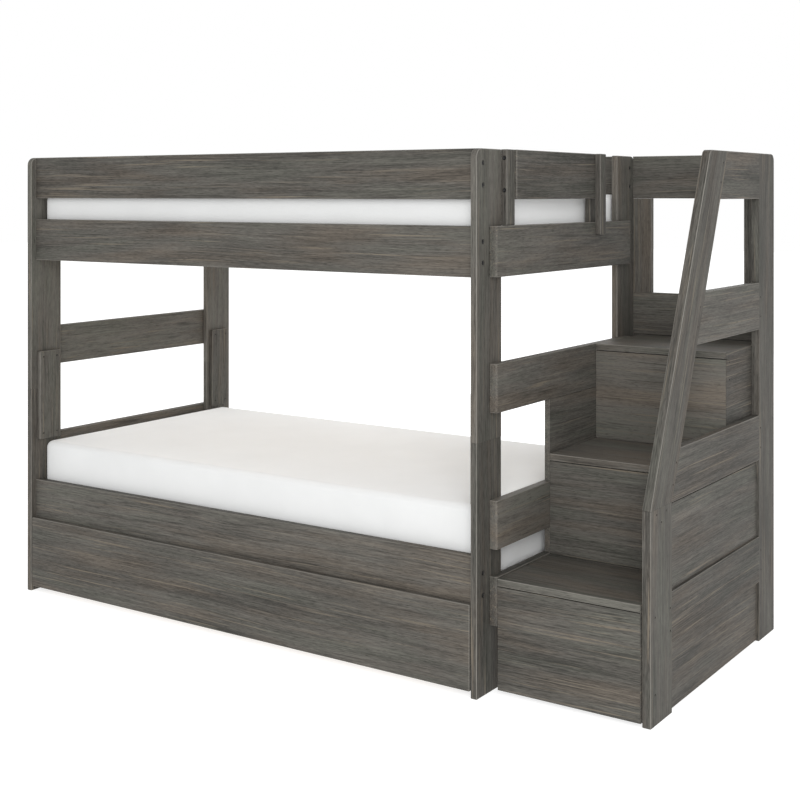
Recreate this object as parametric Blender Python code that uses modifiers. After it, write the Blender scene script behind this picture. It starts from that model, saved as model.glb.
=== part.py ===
"""Bunk bed with a staircase at one end and a trundle underneath.

Units are metres and +Z is up. The bed frame is laid out from the outer face of its right-hand
posts (x = 0) and the front edge of its posts (y = 0), with the stairs at +X, and the whole
model hangs on one empty that brings the middle of its footprint to the world's origin.
"""

import math

import bmesh
import bpy
from mathutils import Vector

# Driving dimensions of the bed
LENGTH = 2.000  # over the posts
WIDTH = 1.136  # over the posts
HEIGHT = 1.654
POST_THICK = 0.022
POST_WIDE = 0.148
POST_SEAM = 0.768  # height where the upper bunk stands on the lower one
CORNER_R = 0.028  # rounded top corners of the posts
PLANK = 0.028  # thickness of rails
GAP = 0.0003  # between pieces that touch
EDGE = 0.003  # eased edges
RAIL_BACK = 0.024  # side rails sit this far behind the posts' edge
PLATE = (0.018, 0.028, 0.132, 0.575, 0.915)  # thickness, y from, y to, z from, z to

# Rail heights, bottom and top
GUARD = (1.4995, 1.654)
UPPER = (1.2632, 1.419)
MIDDLE = (0.851, 1.0005)
LOW_A = (0.437, 0.5855)
LOW_B = (0.206, 0.355)
LOWER_SIDE = (0.267, 0.422)
END_RAIL_Y = (0.073, 1.045)
END_RAIL_ROUND = 0.009

# Bedding and slats
MATTRESS_X = (-1.974, -0.026)
MATTRESS_Y = (0.054, 1.082)
MATTRESS_Z = {"lower": (0.316, 0.566), "upper": (1.314, 1.514)}
SLAT_COUNT = 14
SLAT_WIDE = 0.070
SLAT_THICK = 0.019
STRAP_Y = (0.30, 0.83)
STRAP_WIDE = 0.030
STRAP_THICK = 0.003
CLEAT = 0.026

# Trundle
TRUNDLE_X = (-1.974, -0.026)
TRUNDLE_Z = (0.0192, 0.281)
TRUNDLE_FRONT_THICK = 0.021
TRUNDLE_BOX_X = (-1.950, -0.050)
TRUNDLE_BOX_BACK = 1.050
TRUNDLE_BOX_TOP = 0.250
TRUNDLE_BOARD = 0.018
TRUNDLE_SLAT_TOP = 0.100
WHEEL_R = 0.030
WHEEL_WIDE = 0.020
WHEEL_Y = (0.150, 0.900)
PIN_R = 0.0044
BORE_R = 0.0045

# Staircase
STAIR_X = (0.0285, 0.4945)
STAIR_BOTTOM = 0.0135
STEP_Y = (0.0757, 0.4150, 0.7550)  # front faces of the three risers
TREAD_TOPS = (0.350, 0.675, 1.000)
TREAD_THICK = 0.022
SHADOW_GAP = 0.0025  # between a tread and the riser under it
BOARD = 0.018
LIP = 0.0020  # the outer panel's skin, which laps over the ends of treads and risers
SIDE_X = (0.4950, 0.5225)  # the outer side frame
SIDE_Y = (0.084, 1.1425)
SIDE_POST = 0.1515
SLANT_FOOT = 0.616  # height where the slanted board stands on the short post
SLANT_RISE = 2.255  # climb of the slanted board for each metre back
SIDE_RAILS = {"top": GUARD, "second": (1.0565, 1.215), "third": (0.6138, 0.765), "fourth": (0.201, 0.3545)}
SIDE_PANEL_X = (0.5005, 0.5125)
BACK_Y = (1.1205, 1.1425)
BACK_X = (0.002, 0.4945)
BACK_STILE = 0.0725
BACK_PANEL_TOP = 1.155

# End guard beside the stairs
GUARD_POST_X = (0.0003, 0.0213)
GUARD_POST_Y = (0.1468, 0.1965)
GUARD_RAIL_END = 0.790
CLIP_OUTER = (0.748, 0.792, 1.376)  # y from, y to, z from
CLIP_INNER = (0.7688, 0.8150, 1.376)

LEFT = -LENGTH
INNER_LEFT = LEFT + POST_THICK
INNER_RIGHT = -POST_THICK
STAND_RIGHT = SIDE_X[1]
STAND_LEFT = LEFT - PLANK
STAND_BACK = SIDE_Y[1]


def clear_scene():
    for obj in list(bpy.data.objects):
        bpy.data.objects.remove(obj, do_unlink=True)


def make_material(name, colour, roughness, metallic=0.0):
    material = bpy.data.materials.new(name)
    material.use_nodes = True
    shader = material.node_tree.nodes["Principled BSDF"]
    shader.inputs["Base Color"].default_value = (*colour, 1.0)
    shader.inputs["Roughness"].default_value = roughness
    shader.inputs["Metallic"].default_value = metallic
    return material


def make_collection(name):
    collection = bpy.data.collections.new(name)
    bpy.context.scene.collection.children.link(collection)
    return collection


clear_scene()
PARTS = make_collection("bunk_bed_with_stairs")
CUTTERS = make_collection("joining_shapes")
STAINED = make_material("grey_stained_pine", (0.115, 0.108, 0.098), 0.55)
BARE = make_material("bare_pine", (0.62, 0.47, 0.30), 0.65)
TICKING = make_material("white_ticking", (0.80, 0.80, 0.79), 0.9)
WHEEL_PLASTIC = make_material("wheel_plastic", (0.05, 0.05, 0.05), 0.5)

HOME = bpy.data.objects.new("home", None)
PARTS.objects.link(HOME)
HOME.location = (-(STAND_LEFT + STAND_RIGHT) / 2, -STAND_BACK / 2, 0.0)


def add_object(name, data, collection=PARTS, location=(0, 0, 0), parent=HOME):
    obj = bpy.data.objects.new(name, data)
    collection.objects.link(obj)
    obj.parent = parent
    obj.location = location
    if collection is CUTTERS:
        obj.hide_render = True
        obj.display_type = "WIRE"
    return obj


def ease_edges(obj, width=EDGE):
    bevel = obj.modifiers.new("eased_edges", "BEVEL")
    bevel.width = width
    bevel.segments = 1
    bevel.limit_method = "ANGLE"
    bevel.angle_limit = math.radians(40)


def block(name, x, y, z, material=STAINED, collection=PARTS, edge=EDGE, parent=HOME):
    """A board between the given (low, high) limits, with its edges eased."""
    size = Vector((x[1] - x[0], y[1] - y[0], z[1] - z[0]))
    middle = Vector(((x[0] + x[1]) / 2, (y[0] + y[1]) / 2, (z[0] + z[1]) / 2))
    mesh = bpy.data.meshes.new(name)
    shape = bmesh.new()
    bmesh.ops.create_cube(shape, size=1.0)
    bmesh.ops.scale(shape, vec=size, verts=shape.verts)
    shape.to_mesh(mesh)
    shape.free()
    mesh.materials.append(material)
    obj = add_object(name, mesh, collection, middle, parent)
    if edge:
        ease_edges(obj, edge)
    return obj


def outline(name, x, points, material=STAINED, rounds=None, edge=EDGE, collection=PARTS):
    """A board cut to an outline in the YZ plane, as thick as its x limits.

    rounds maps a corner's index to the radius that it is rounded to.
    """
    curve = bpy.data.curves.new(name, "CURVE")
    curve.dimensions = "2D"
    curve.fill_mode = "BOTH"
    curve.extrude = (x[1] - x[0]) / 2
    path = []
    for index, corner in enumerate(points):
        radius = (rounds or {}).get(index)
        if radius:
            path += rounded_corner(points[index - 1], corner, points[(index + 1) % len(points)], radius)
        else:
            path.append(corner)
    spline = curve.splines.new("POLY")
    spline.points.add(len(path) - 1)
    for point, (y, z) in zip(spline.points, path):
        point.co = (y, z, 0.0, 1.0)
    spline.use_cyclic_u = True
    curve.materials.append(material)
    obj = add_object(name, curve, collection, ((x[0] + x[1]) / 2, 0.0, 0.0))
    obj.rotation_euler = (math.pi / 2, 0.0, math.pi / 2)
    weld = obj.modifiers.new("weld_caps", "WELD")
    weld.merge_threshold = 0.00005
    if edge:
        ease_edges(obj, edge)
    return obj


def rounded_corner(before, corner, after, radius, steps=5):
    """Points of the arc that rounds the corner between two straight sides at right angles."""
    corner = Vector(corner)
    into = (Vector(before) - corner).normalized()
    out = (Vector(after) - corner).normalized()
    turn = into.angle(out)
    reach = radius / math.tan(turn / 2)
    centre = corner + (into + out).normalized() * radius / math.sin(turn / 2)
    start = corner + into * reach - centre
    sweep = start.angle_signed(corner + out * reach - centre)
    arc = []
    for step in range(steps + 1):
        angle = -sweep * step / steps
        turned = Vector((start.x * math.cos(angle) - start.y * math.sin(angle),
                         start.x * math.sin(angle) + start.y * math.cos(angle)))
        arc.append(tuple(centre + turned))
    return arc


def as_mesh(obj):
    """The outlined board as a mesh object with welded caps, which is what a Boolean takes."""
    name, collection, hidden = obj.name, obj.users_collection[0], obj.hide_render
    bpy.context.view_layer.update()
    placed = obj.matrix_world.copy()
    mesh = bpy.data.meshes.new_from_object(obj.evaluated_get(bpy.context.evaluated_depsgraph_get()))
    welded = bmesh.new()
    welded.from_mesh(mesh)
    bmesh.ops.remove_doubles(welded, verts=welded.verts, dist=0.00001)
    welded.to_mesh(mesh)
    welded.free()
    bpy.data.objects.remove(obj)
    mesh.name = name
    solid = bpy.data.objects.new(name, mesh)
    collection.objects.link(solid)
    solid.matrix_world = placed
    solid.hide_render = hidden
    if hidden:
        solid.display_type = "WIRE"
    return solid


def join(obj, other):
    """Makes another shape part of this one."""
    union = obj.modifiers.new("join_" + other.name, "BOOLEAN")
    union.operation = "UNION"
    union.object = other


def make_posts():
    """Eight post boards. The lower four carry the plates that hold the upper bunk on them."""
    thick, plate_from, plate_to, plate_low, plate_high = PLATE
    for side, x in (("left", (LEFT, INNER_LEFT)), ("right", (INNER_RIGHT, 0.0))):
        for place in ("front", "rear"):
            front = place == "front"
            y = (0.0, POST_WIDE) if front else (WIDTH - POST_WIDE, WIDTH)
            corners = [(y[0], POST_SEAM + GAP), (y[1], POST_SEAM + GAP), (y[1], HEIGHT), (y[0], HEIGHT)]
            outline(f"post_upper_{place}_{side}", x, corners, rounds={3 if front else 2: CORNER_R})
            lower = block(f"post_lower_{place}_{side}", x, y, (0.0, POST_SEAM), edge=0)
            inner = x[1] if side == "left" else x[0]
            reach = (inner - 0.001, inner + thick) if side == "left" else (inner - thick, inner + 0.001)
            plate_y = (plate_from, plate_to) if front else (WIDTH - plate_to, WIDTH - plate_from)
            # The plate is part of the lower post up to the seam and stands proud above it.
            plate = block(f"plate_{place}_{side}", reach, plate_y, (plate_low, POST_SEAM - 0.001),
                          collection=CUTTERS, edge=0)
            tongue_x = (inner + GAP, inner + thick) if side == "left" else (inner - thick, inner - GAP)
            tongue = block(f"tongue_{place}_{side}", tongue_x, plate_y, (POST_SEAM - 0.010, plate_high),
                           collection=CUTTERS, edge=0)
            join(lower, plate)
            join(lower, tongue)


def make_long_rails():
    """Front and rear guard rails, and side rails with the cleat that the slats rest on."""
    x = (INNER_LEFT + GAP, INNER_RIGHT - GAP)
    for place in ("front", "rear"):
        front = place == "front"
        y = (RAIL_BACK, RAIL_BACK + PLANK)
        if not front:
            y = (WIDTH - y[1], WIDTH - y[0])
        block(f"guard_rail_{place}", x, y, GUARD)
        for level, (low, high) in (("upper", UPPER), ("lower", LOWER_SIDE)):
            cleat_top = MATTRESS_Z[level][0] - SLAT_THICK - 3 * GAP
            inner = y[1] if front else y[0]
            outer = y[0] if front else y[1]
            tip = inner + CLEAT if front else inner - CLEAT
            section = [(outer, low), (inner, low), (inner, cleat_top - CLEAT), (tip, cleat_top - CLEAT),
                       (tip, cleat_top), (inner, cleat_top), (inner, high), (outer, high)]
            if not front:
                section.reverse()
            outline(f"side_rail_{level}_{place}", x, section)


def make_end_rails():
    """Rails lapped on the outer faces of the posts at both ends, with rounded ends."""
    levels = {"upper": UPPER, "middle": MIDDLE, "low_a": LOW_A, "low_b": LOW_B}
    for side, x in (("left", (LEFT - PLANK, LEFT - GAP)), ("right", (GAP, PLANK))):
        for level, z in levels.items():
            block(f"end_rail_{level}_{side}", x, END_RAIL_Y, z, edge=END_RAIL_ROUND / 2)
    block("end_guard_left", (LEFT - PLANK, LEFT - GAP), END_RAIL_Y, GUARD, edge=END_RAIL_ROUND / 2)


def make_stair_guard():
    """The guard rail at the stair end with its upright and the two boards that clip over the end rail."""
    top = GUARD[1]
    block("stair_guard_upright", GUARD_POST_X, GUARD_POST_Y, (UPPER[1] + GAP, top))
    block("stair_guard_rail", (GAP, PLANK), (GUARD_POST_Y[1] + GAP, GUARD_RAIL_END), GUARD)
    outer_x = (PLANK + GAP, PLANK + GAP + 0.021)
    block("stair_guard_clip_outer", outer_x, CLIP_OUTER[:2], (CLIP_OUTER[2], top))
    block("stair_guard_clip_inner", (-0.021, -GAP), CLIP_INNER[:2], (CLIP_INNER[2], top))


def slat_roll(name, x, y, top, count=SLAT_COUNT, strap_y=STRAP_Y, parent=HOME):
    """Cross slats held at an even pitch by two straps under them."""
    slats = bpy.data.collections.new(name + "_slats")
    CUTTERS.children.link(slats)
    pitch = (x[1] - x[0] - SLAT_WIDE) / (count - 1)
    for index in range(count):
        left = x[0] + pitch * index
        slat = block(f"{name}_slat_{index}", (left, left + SLAT_WIDE), y, (top - SLAT_THICK, top),
                     BARE, CUTTERS, edge=0, parent=parent)
        CUTTERS.objects.unlink(slat)
        slats.objects.link(slat)
    under = (top - SLAT_THICK - STRAP_THICK, top - SLAT_THICK + 0.001)
    x_strap = (x[0] + 0.01, x[1] - 0.01)
    second = block(name + "_second_strap", x_strap, (strap_y[1], strap_y[1] + STRAP_WIDE), under,
                   BARE, CUTTERS, edge=0, parent=parent)
    CUTTERS.objects.unlink(second)
    slats.objects.link(second)
    roll = block(name, x_strap, (strap_y[0], strap_y[0] + STRAP_WIDE), under, BARE, edge=0, parent=parent)
    union = roll.modifiers.new("slats", "BOOLEAN")
    union.operation = "UNION"
    union.operand_type = "COLLECTION"
    union.collection = slats
    return roll


def make_bedding():
    """Slat rolls and mattresses of both bunks."""
    x = (INNER_LEFT + 0.004, INNER_RIGHT - 0.004)
    y = (RAIL_BACK + PLANK + 0.003, WIDTH - RAIL_BACK - PLANK - 0.003)
    for level, z in MATTRESS_Z.items():
        slat_roll(f"slats_{level}", x, y, z[0] - GAP)
        block(f"mattress_{level}", MATTRESS_X, MATTRESS_Y, z, TICKING, edge=0.022)


def make_wheel(name, x, y):
    """A wheel turned about X: a ring with a bore and chamfered rims."""
    half, rim = WHEEL_WIDE / 2, 0.003
    profile = [(half, BORE_R), (half, WHEEL_R - rim), (half - rim, WHEEL_R),
               (rim - half, WHEEL_R), (-half, WHEEL_R - rim), (-half, BORE_R)]
    mesh = bpy.data.meshes.new(name)
    shape = bmesh.new()
    corners = [shape.verts.new((along, 0.0, out)) for along, out in profile]
    for corner, following in zip(corners, corners[1:] + corners[:1]):
        shape.edges.new((corner, following))
    shape.to_mesh(mesh)
    shape.free()
    mesh.materials.append(WHEEL_PLASTIC)
    wheel = add_object(name, mesh, location=(x, y, WHEEL_R))
    turned = wheel.modifiers.new("turned", "SCREW")
    turned.axis = "X"
    turned.steps = 24
    turned.render_steps = 24
    turned.use_merge_vertices = True
    turned.merge_threshold = 0.0001
    turned.use_normal_calculate = True
    return wheel


def make_trundle():
    """The low box on wheels that rolls out from under the lower bunk."""
    front_back = TRUNDLE_FRONT_THICK
    cleat_top = TRUNDLE_SLAT_TOP - SLAT_THICK - GAP
    back = (TRUNDLE_BOX_BACK - TRUNDLE_BOARD, TRUNDLE_BOX_BACK)
    bottom = TRUNDLE_Z[0]
    inner_x = (TRUNDLE_BOX_X[0] + TRUNDLE_BOARD + GAP, TRUNDLE_BOX_X[1] - TRUNDLE_BOARD - GAP)
    front = block("trundle_front", TRUNDLE_X, (0.0, front_back), TRUNDLE_Z, edge=0)
    front_cleat = block("trundle_front_cleat", (inner_x[0] + 0.03, inner_x[1] - 0.03),
                        (front_back - 0.001, front_back + CLEAT), (cleat_top - CLEAT, cleat_top),
                        collection=CUTTERS, edge=0)
    join(front, front_cleat)
    rear = block("trundle_back", inner_x, back, (bottom, TRUNDLE_BOX_TOP), edge=0)
    rear_cleat = block("trundle_back_cleat", (inner_x[0] + 0.03, inner_x[1] - 0.03),
                       (back[0] - CLEAT, back[0] + 0.001), (cleat_top - CLEAT, cleat_top),
                       collection=CUTTERS, edge=0)
    join(rear, rear_cleat)
    side_y = (front_back + GAP, TRUNDLE_BOX_BACK)
    for side in ("left", "right"):
        outer = TRUNDLE_BOX_X[0] if side == "left" else TRUNDLE_BOX_X[1]
        inward = 1 if side == "left" else -1
        x = sorted((outer, outer + inward * TRUNDLE_BOARD))
        board = block(f"trundle_side_{side}", x, side_y, (bottom, TRUNDLE_BOX_TOP), edge=0)
        wheel_x = outer + inward * (TRUNDLE_BOARD + 0.004 + WHEEL_WIDE / 2)
        for place, y in zip(("front", "rear"), WHEEL_Y):
            join(board, make_pin(f"pin_{place}_{side}", outer, inward, y))
            make_wheel(f"wheel_{place}_{side}", wheel_x, y)
    slat_y = (front_back + 0.002, back[0] - 0.002)
    slat_roll("trundle_slats", (inner_x[0] + 0.03, inner_x[1] - 0.03), slat_y, TRUNDLE_SLAT_TOP,
              strap_y=(0.28, 0.76))


def make_pin(name, outer, inward, y):
    """The stub axle that a trundle wheel turns on, standing out of the side board."""
    length = TRUNDLE_BOARD + WHEEL_WIDE + 0.006
    mesh = bpy.data.meshes.new(name)
    shape = bmesh.new()
    bmesh.ops.create_cone(shape, cap_ends=True, segments=16, radius1=PIN_R, radius2=PIN_R, depth=length)
    shape.to_mesh(mesh)
    shape.free()
    start = outer + inward * 0.002
    pin = add_object(name, mesh, CUTTERS, (start + inward * length / 2, y, WHEEL_R))
    pin.rotation_euler = (0.0, math.pi / 2, 0.0)
    return pin


def make_steps():
    """Three treads on their risers, between the two side panels of the staircase."""
    ends = STEP_Y[1:] + (BACK_Y[0] - 0.0005,)
    under = STAIR_BOTTOM
    for number, (front, end, top) in enumerate(zip(STEP_Y, ends, TREAD_TOPS), start=1):
        bottom = top - TREAD_THICK
        x = (STAIR_X[0], STAIR_X[1] - LIP)
        block(f"tread_{number}", x, (front, end - 2 * GAP), (bottom, top), edge=0.002)
        block(f"riser_{number}", x, (front, front + BOARD), (under, bottom - SHADOW_GAP), edge=0.001)
        under = bottom
    step_panel()
    bed_side_panel()


def step_profile(fronts, tops):
    """Outline of the staircase's side: up each front, and back along each top."""
    rear = BACK_Y[0] - 0.0005
    return [(fronts[0], STAIR_BOTTOM), (rear, STAIR_BOTTOM), (rear, tops[2]), (fronts[2], tops[2]),
            (fronts[2], tops[1]), (fronts[1], tops[1]), (fronts[1], tops[0]), (fronts[0], tops[0])]


def step_panel():
    """The stepped outer panel behind the risers, and its thin lip over the ends of treads and risers."""
    behind = [front + BOARD + GAP for front in STEP_Y]
    below = [top - TREAD_THICK - GAP for top in TREAD_TOPS]
    skin = STAIR_X[1] - LIP + GAP
    panel_x = (STAIR_X[1] - BOARD, skin + 0.0005)
    panel = as_mesh(outline("stair_outer_panel", panel_x, step_profile(behind, below), edge=0))
    lip = step_profile(STEP_Y, TREAD_TOPS)
    # The shadow gap under the top tread runs on through the lip.
    high = TREAD_TOPS[2] - TREAD_THICK
    low = high - SHADOW_GAP
    front = STEP_Y[2]
    lip[4:4] = [(front, high), (front + 0.006, high), (front + 0.006, low), (front, low)]
    join(panel, as_mesh(outline("stair_outer_lip", (skin, STAIR_X[1]), lip, edge=0, collection=CUTTERS)))


def bed_side_panel():
    """The panel toward the bed. It lies flush with the end rails, slotted so that it slides over them."""
    x = (0.0092, 0.0275)
    front, rear = STEP_Y[1], BACK_Y[0] - 0.0005
    slot_end = END_RAIL_Y[1] + 0.0007
    clear = 0.0007
    points = [(front, STAIR_BOTTOM), (rear, STAIR_BOTTOM), (rear, TREAD_TOPS[2] - TREAD_THICK - GAP),
              (slot_end, TREAD_TOPS[2] - TREAD_THICK - GAP), (slot_end, MIDDLE[0] - clear)]
    points.append((front, MIDDLE[0] - clear))
    for low, high in (LOW_A, LOW_B):
        points += [(front, high + clear), (slot_end, high + clear), (slot_end, low - clear), (front, low - clear)]
    outline("stair_bed_side_panel", x, points, edge=0)


def slant_back(z):
    """Y of the slanted board's rear edge at a height."""
    return SIDE_Y[0] + SIDE_POST + (z - SLANT_FOOT) / SLANT_RISE


def make_side_frame():
    """The outer side frame: a short post, a slanted board, a tall post, four rails and a panel."""
    front, rear = SIDE_Y
    post_back, tall_front = front + SIDE_POST, rear - SIDE_POST
    block("side_post_front", SIDE_X, (front, post_back), (0.0, SLANT_FOOT - GAP))
    lean = (HEIGHT - SLANT_FOOT) / SLANT_RISE
    slant = [(front, SLANT_FOOT), (post_back, SLANT_FOOT), (post_back + lean, HEIGHT), (front + lean, HEIGHT)]
    outline("side_slanted_board", SIDE_X, slant, rounds={3: CORNER_R})
    tall = [(tall_front, 0.0), (rear, 0.0), (rear, HEIGHT), (tall_front, HEIGHT)]
    outline("side_post_rear", SIDE_X, tall, rounds={2: CORNER_R})
    end = tall_front - GAP
    for name in ("top", "second"):
        low, high = SIDE_RAILS[name]
        shape = [(slant_back(low) + GAP, low), (end, low), (end, high), (slant_back(high) + GAP, high)]
        outline(f"side_rail_{name}", SIDE_X, shape)
    low, high = SIDE_RAILS["third"]
    shape = [(post_back + GAP, low), (end, low), (end, high), (slant_back(high) + GAP, high),
             (post_back + GAP, SLANT_FOOT)]
    outline("side_rail_third", SIDE_X, shape)
    block("side_rail_fourth", (SIDE_PANEL_X[1] + GAP, SIDE_X[1]), (post_back + GAP, end), SIDE_RAILS["fourth"])
    block("side_panel", SIDE_PANEL_X, (post_back + GAP, end), (0.004, low - GAP), edge=0)


def make_back_frame():
    """The back of the staircase: a full-width panel, two stiles and a top rail round a window."""
    block("back_panel", BACK_X, BACK_Y, (STAIR_BOTTOM, BACK_PANEL_TOP))
    stile_z = (BACK_PANEL_TOP + GAP, GUARD[0] - GAP)
    block("back_stile_left", (BACK_X[0], BACK_X[0] + BACK_STILE), BACK_Y, stile_z)
    block("back_stile_right", (BACK_X[1] - BACK_STILE, BACK_X[1]), BACK_Y, stile_z)
    block("back_rail_top", BACK_X, BACK_Y, GUARD)


make_posts()
make_long_rails()
make_end_rails()
make_stair_guard()
make_bedding()
make_trundle()
make_steps()
make_side_frame()
make_back_frame()
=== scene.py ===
"""Bunk bed in grey-stained pine with a staircase at one end and a trundle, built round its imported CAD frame.

Every board is a surface of two parameters: one runs along the board's outline, the other goes
over its thickness, round the two eased edges. Lengths are metres.
"""

import math

import bpy
import numpy as np
from mathutils.geometry import delaunay_2d_cdt
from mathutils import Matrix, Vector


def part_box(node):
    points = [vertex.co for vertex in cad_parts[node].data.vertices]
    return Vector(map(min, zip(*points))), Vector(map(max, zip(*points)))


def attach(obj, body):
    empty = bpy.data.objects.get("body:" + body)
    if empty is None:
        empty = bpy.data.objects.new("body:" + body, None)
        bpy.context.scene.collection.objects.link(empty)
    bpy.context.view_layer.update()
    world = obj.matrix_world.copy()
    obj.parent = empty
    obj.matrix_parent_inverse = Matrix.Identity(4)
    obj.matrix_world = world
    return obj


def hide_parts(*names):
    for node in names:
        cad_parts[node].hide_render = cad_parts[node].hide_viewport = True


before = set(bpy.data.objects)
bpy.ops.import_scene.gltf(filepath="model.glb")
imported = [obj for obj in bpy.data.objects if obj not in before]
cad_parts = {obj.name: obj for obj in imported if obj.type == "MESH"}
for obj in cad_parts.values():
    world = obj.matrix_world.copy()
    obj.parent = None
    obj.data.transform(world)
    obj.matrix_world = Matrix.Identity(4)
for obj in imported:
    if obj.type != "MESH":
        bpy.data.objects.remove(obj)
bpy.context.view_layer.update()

rng = np.random.default_rng(41)

EDGE = 0.0028  # radius of the eased edges
BUTT = 0.0005  # edges that stand against another board
CORNER = 0.028  # rounded top corners of the bed's posts
ARC_STEPS = 5
PLANES = {"YZ": (1, 2, 0), "XZ": (0, 2, 1), "XY": (0, 1, 2)}  # outline's two axes, then the thickness

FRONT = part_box("post_upper_front_right")[0].y  # the posts' front edge
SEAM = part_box("post_upper_front_right")[0].z
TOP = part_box("post_upper_front_right")[1].z
RAIL_THICK = 0.028
CLEAT_WIDE, CLEAT_TALL = 0.026, 0.026
STRAP_WIDE, STRAP_THICK = 0.030, 0.003
SEAT = 0.0003  # clearance between boards that touch
LAP = 0.0002  # how far the boards of one piece run into each other


# ---------------------------------------------------------------- materials

def node_tree(name):
    material = bpy.data.materials.new(name)
    material.use_nodes = True
    tree = material.node_tree
    return material, tree, tree.nodes["Principled BSDF"]


def add(tree, kind, settings=None, **inputs):
    """A node with its properties and inputs set; an input that is a socket is linked."""
    node = tree.nodes.new(kind)
    for key, value in (settings or {}).items():
        setattr(node, key, value)
    for key, value in inputs.items():
        numbered = key[0] == "_" and key[1:].isdigit()
        socket = node.inputs[int(key[1:]) if numbered else key.replace("_", " ")]
        if isinstance(value, bpy.types.NodeSocket):
            tree.links.new(value, socket)
        else:
            socket.default_value = value
    return node


def maths(tree, operation, a, b=0.0, c=0.0, clamp=False):
    node = add(tree, "ShaderNodeMath", {"operation": operation, "use_clamp": clamp}, _0=a, _1=b, _2=c)
    return node.outputs[0]


def blend_colours(tree, factor, a, b, kind="MIX"):
    node = add(tree, "ShaderNodeMix", {"data_type": "RGBA", "blend_type": kind}, _0=factor, _6=a, _7=b)
    return node.outputs[2]


def ramp(tree, factor, stops):
    node = add(tree, "ShaderNodeValToRGB", Fac=factor)
    elements = node.color_ramp.elements
    while len(elements) < len(stops):
        elements.new(0.5)
    for element, (place, colour) in zip(elements, stops):
        element.position = place
        element.color = (*colour, 1.0) if len(colour) == 3 else colour
    return node.outputs[0]


def stretched(tree, vector, scale, detail=3.0, roughness=0.55, distortion=0.0):
    """Noise over coordinates scaled separately along, across and through the board."""
    mapping = add(tree, "ShaderNodeMapping", Vector=vector, Scale=scale)
    noise = add(tree, "ShaderNodeTexNoise", Vector=mapping.outputs[0], Scale=1.0, Detail=detail,
                Roughness=roughness, Distortion=distortion)
    return noise.outputs[0]


def wood(name, dark, light, tints, pale_streak, worn_colour, roughness, contrast=1.0):
    """Plain-sawn board. The grain attribute holds metres along, across and through each board."""
    material, tree, shader = node_tree(name)
    grain = add(tree, "ShaderNodeAttribute", {"attribute_name": "grain"}).outputs["Vector"]
    worn = add(tree, "ShaderNodeAttribute", {"attribute_name": "worn"}).outputs["Fac"]
    tone = add(tree, "ShaderNodeAttribute", {"attribute_name": "tone"}).outputs["Fac"]
    # The growth lines drift slowly across the board as they run along it.
    drift = maths(tree, "SUBTRACT", stretched(tree, grain, (0.9, 2.4, 2.4), 1.0, 0.4), 0.5)
    waver = maths(tree, "SUBTRACT", stretched(tree, grain, (5.0, 14.0, 14.0), 1.0, 0.4), 0.5)
    shift = maths(tree, "MULTIPLY_ADD", waver, 0.0035, maths(tree, "MULTIPLY", drift, 0.045))
    parts = add(tree, "ShaderNodeSeparateXYZ", Vector=grain)
    across = maths(tree, "ADD", parts.outputs[1], shift)
    lines = add(tree, "ShaderNodeCombineXYZ", X=parts.outputs[0], Y=across, Z=parts.outputs[2]).outputs[0]

    def layer(scale, detail, strength):
        noise = stretched(tree, lines, scale, detail, 0.6)
        return noise, maths(tree, "MULTIPLY", maths(tree, "SUBTRACT", noise, 0.5), strength * contrast)

    def mask(scale, low, high, detail=2.0):
        noise = stretched(tree, lines, scale, detail, 0.5)
        return maths(tree, "MULTIPLY", maths(tree, "SUBTRACT", noise, low), 1.0 / (high - low), clamp=True)

    _, broad = layer((1.5, 11.0, 8.0), 2.0, 0.75)
    _, bands = layer((2.2, 50.0, 38.0), 3.0, 0.50)
    fine, growth = layer((4.5, 230.0, 170.0), 3.0, 1.20)
    fibres, hair = layer((32.0, 620.0, 560.0), 2.0, 1.35)
    value = maths(tree, "ADD", maths(tree, "ADD", broad, bands), maths(tree, "ADD", growth, hair))
    # The per-board value makes a board paler or darker: partly its own tone, partly painted light and painted
    # shade set board by board.
    value = maths(tree, "MULTIPLY_ADD", tone, 0.10, maths(tree, "ADD", value, 0.5))
    colour = ramp(tree, value, [(0.0, dark), (1.0, light)])
    tint = ramp(tree, stretched(tree, lines, (1.5, 13.0, 10.0), 3.0, 0.6), tints)
    colour = blend_colours(tree, 1.0, colour, tint, "MULTIPLY")
    pale = maths(tree, "MULTIPLY", mask((2.2, 165.0, 120.0), 0.61, 0.70), 0.62 * contrast)
    colour = blend_colours(tree, pale, colour, (*pale_streak, 1.0))
    deep = maths(tree, "MULTIPLY", mask((4.0, 130.0, 100.0), 0.61, 0.72), 0.45 * contrast)
    colour = blend_colours(tree, deep, colour, (*[c * 0.7 for c in dark], 1.0))
    pores = maths(tree, "MULTIPLY", mask((45.0, 520.0, 520.0), 0.62, 0.72, 1.0), 0.42 * contrast)
    colour = blend_colours(tree, pores, colour, (*[c * 0.5 for c in dark], 1.0))
    # Eased edges are mixed toward a paler colour: partly worn-through stain, partly a painted highlight for
    # the light the rounded edges catch.
    scuffed_highlit = maths(tree, "MULTIPLY", worn, maths(tree, "MULTIPLY_ADD", fine, 0.6, 0.40), clamp=True)
    colour = blend_colours(tree, scuffed_highlit, colour, (*worn_colour, 1.0))
    tree.links.new(colour, shader.inputs["Base Color"])
    tree.links.new(maths(tree, "MULTIPLY_ADD", fibres, 0.16, roughness - 0.08), shader.inputs["Roughness"])
    relief = maths(tree, "MULTIPLY_ADD", fine, 0.5, maths(tree, "MULTIPLY", fibres, 0.5))
    bump = add(tree, "ShaderNodeBump", Strength=0.30, Distance=0.0006, Height=relief)
    tree.links.new(bump.outputs[0], shader.inputs["Normal"])
    shader.inputs["Specular IOR Level"].default_value = 0.12
    return material


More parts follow.
